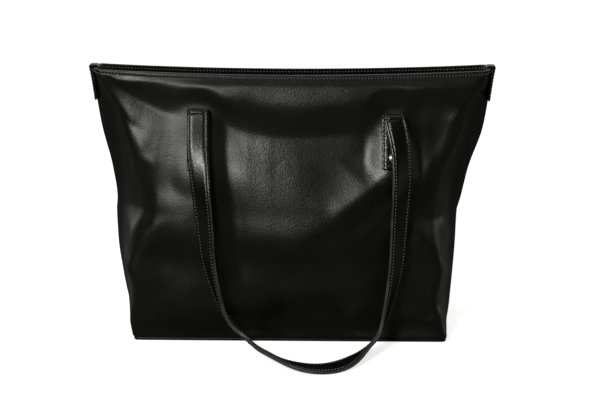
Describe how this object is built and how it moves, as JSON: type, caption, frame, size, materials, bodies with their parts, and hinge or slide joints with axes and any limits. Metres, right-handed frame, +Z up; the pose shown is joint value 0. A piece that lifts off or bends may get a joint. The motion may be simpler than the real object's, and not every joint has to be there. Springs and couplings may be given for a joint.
{
  "type": "tote bag",
  "caption": "Soft smooth-leather tote bag with long flat riveted handles folded down, side tabs over the rim's ends and a recessed zip top.",
  "frame": {"origin": "middle of the bag's base, on the surface it stands on", "axes": "+X to the right along the bag's length as seen from the front, -Y towards the front, +Z up"},
  "size_m": [0.4354, 0.3134, 0.2931],
  "materials": {
    "bag_leather": "smooth semi-gloss black leather with soft creases",
    "strap_leather": "smooth semi-gloss black leather, painted edges, stitched along both edges",
    "lining_cloth": "dark woven cotton lining",
    "board": "plain stiffener board, hidden under the lining",
    "zip_cloth": "black woven zip tape",
    "coil_nylon": "black nylon zip coil",
    "rivet_metal": "polished nickel-plated domed rivet",
    "zip_metal": "polished nickel-plated zip slider and pull"
  },
  "bodies": {
    "bag": {"front_panel": "bag_leather", "back_panel": "bag_leather", "base_panel": "bag_leather", "front_rim_facing": "bag_leather", "back_rim_facing": "bag_leather", "left_side_tab": "bag_leather", "right_side_tab": "bag_leather", "base_board": "board", "lining": "lining_cloth", "front_left_strap_end": "strap_leather", "front_left_strap_fold": "strap_leather", "front_left_rivet_patch": "bag_leather", "front_left_lower_rivet": "rivet_metal", "front_left_upper_rivet": "rivet_metal", "front_right_strap_end": "strap_leather", "front_right_strap_fold": "strap_leather", "front_right_rivet_patch": "bag_leather", "front_right_lower_rivet": "rivet_metal", "front_right_upper_rivet": "rivet_metal", "back_left_strap_end": "strap_leather", "back_left_strap_fold": "strap_leather", "back_left_rivet_patch": "bag_leather", "back_left_lower_rivet": "rivet_metal", "back_left_upper_rivet": "rivet_metal", "back_right_strap_end": "strap_leather", "back_right_strap_fold": "strap_leather", "back_right_rivet_patch": "bag_leather", "back_right_lower_rivet": "rivet_metal", "back_right_upper_rivet": "rivet_metal", "zip_left_end": "zip_cloth", "zip_right_end": "zip_cloth"},
    "front_handle": {"front_handle_leather": "strap_leather", "front_handle_backing": "strap_leather"},
    "back_handle": {"back_handle_leather": "strap_leather", "back_handle_backing": "strap_leather"},
    "zip_front_half": {"zip_front_strip": "bag_leather", "zip_front_tape": "zip_cloth", "zip_front_coil": "coil_nylon"},
    "zip_back_half": {"zip_back_strip": "bag_leather", "zip_back_tape": "zip_cloth", "zip_back_coil": "coil_nylon"},
    "slider": {"zip_slider": "zip_metal"},
    "pull": {"zip_pull": "zip_metal"}
  },
  "joints": [
    {"name": "front_handle_swing", "type": "hinge", "parent": "bag", "child": "front_handle", "pos_m": [0, -0.03455, 0.2445], "axis": [-1, 0, 0], "range_deg": [0, 157], "deforming": ["front_left_strap_fold", "front_right_strap_fold"]},
    {"name": "back_handle_swing", "type": "hinge", "parent": "bag", "child": "back_handle", "pos_m": [0, 0.03455, 0.2445], "axis": [1, 0, 0], "range_deg": [0, 157], "deforming": ["back_left_strap_fold", "back_right_strap_fold"]},
    {"name": "zip_slide", "type": "slide", "parent": "bag", "child": "slider", "axis": [-1, 0, 0], "range_m": [0, 0.35892], "deforming": ["zip_front_tape", "zip_front_coil", "zip_back_tape", "zip_back_coil"]},
    {"name": "zip_front_swing", "type": "hinge", "parent": "bag", "child": "zip_front_half", "pos_m": [0, -0.01815, 0.2725], "axis": [-1, 0, 0], "range_deg": [0, 75]},
    {"name": "zip_back_swing", "type": "hinge", "parent": "bag", "child": "zip_back_half", "pos_m": [0, 0.01815, 0.2725], "axis": [1, 0, 0], "range_deg": [0, 75]},
    {"name": "pull_flip", "type": "hinge", "parent": "slider", "child": "pull", "pos_m": [0.19046, 0, 0.2774], "axis": [0, 1, 0], "range_deg": [0, 110]}
  ],
  "couplings": [
    {"joint": "zip_front_swing", "follows": "zip_slide", "rad_per_m": 3.646},
    {"joint": "zip_back_swing", "follows": "zip_slide", "rad_per_m": 3.646}
  ]
}
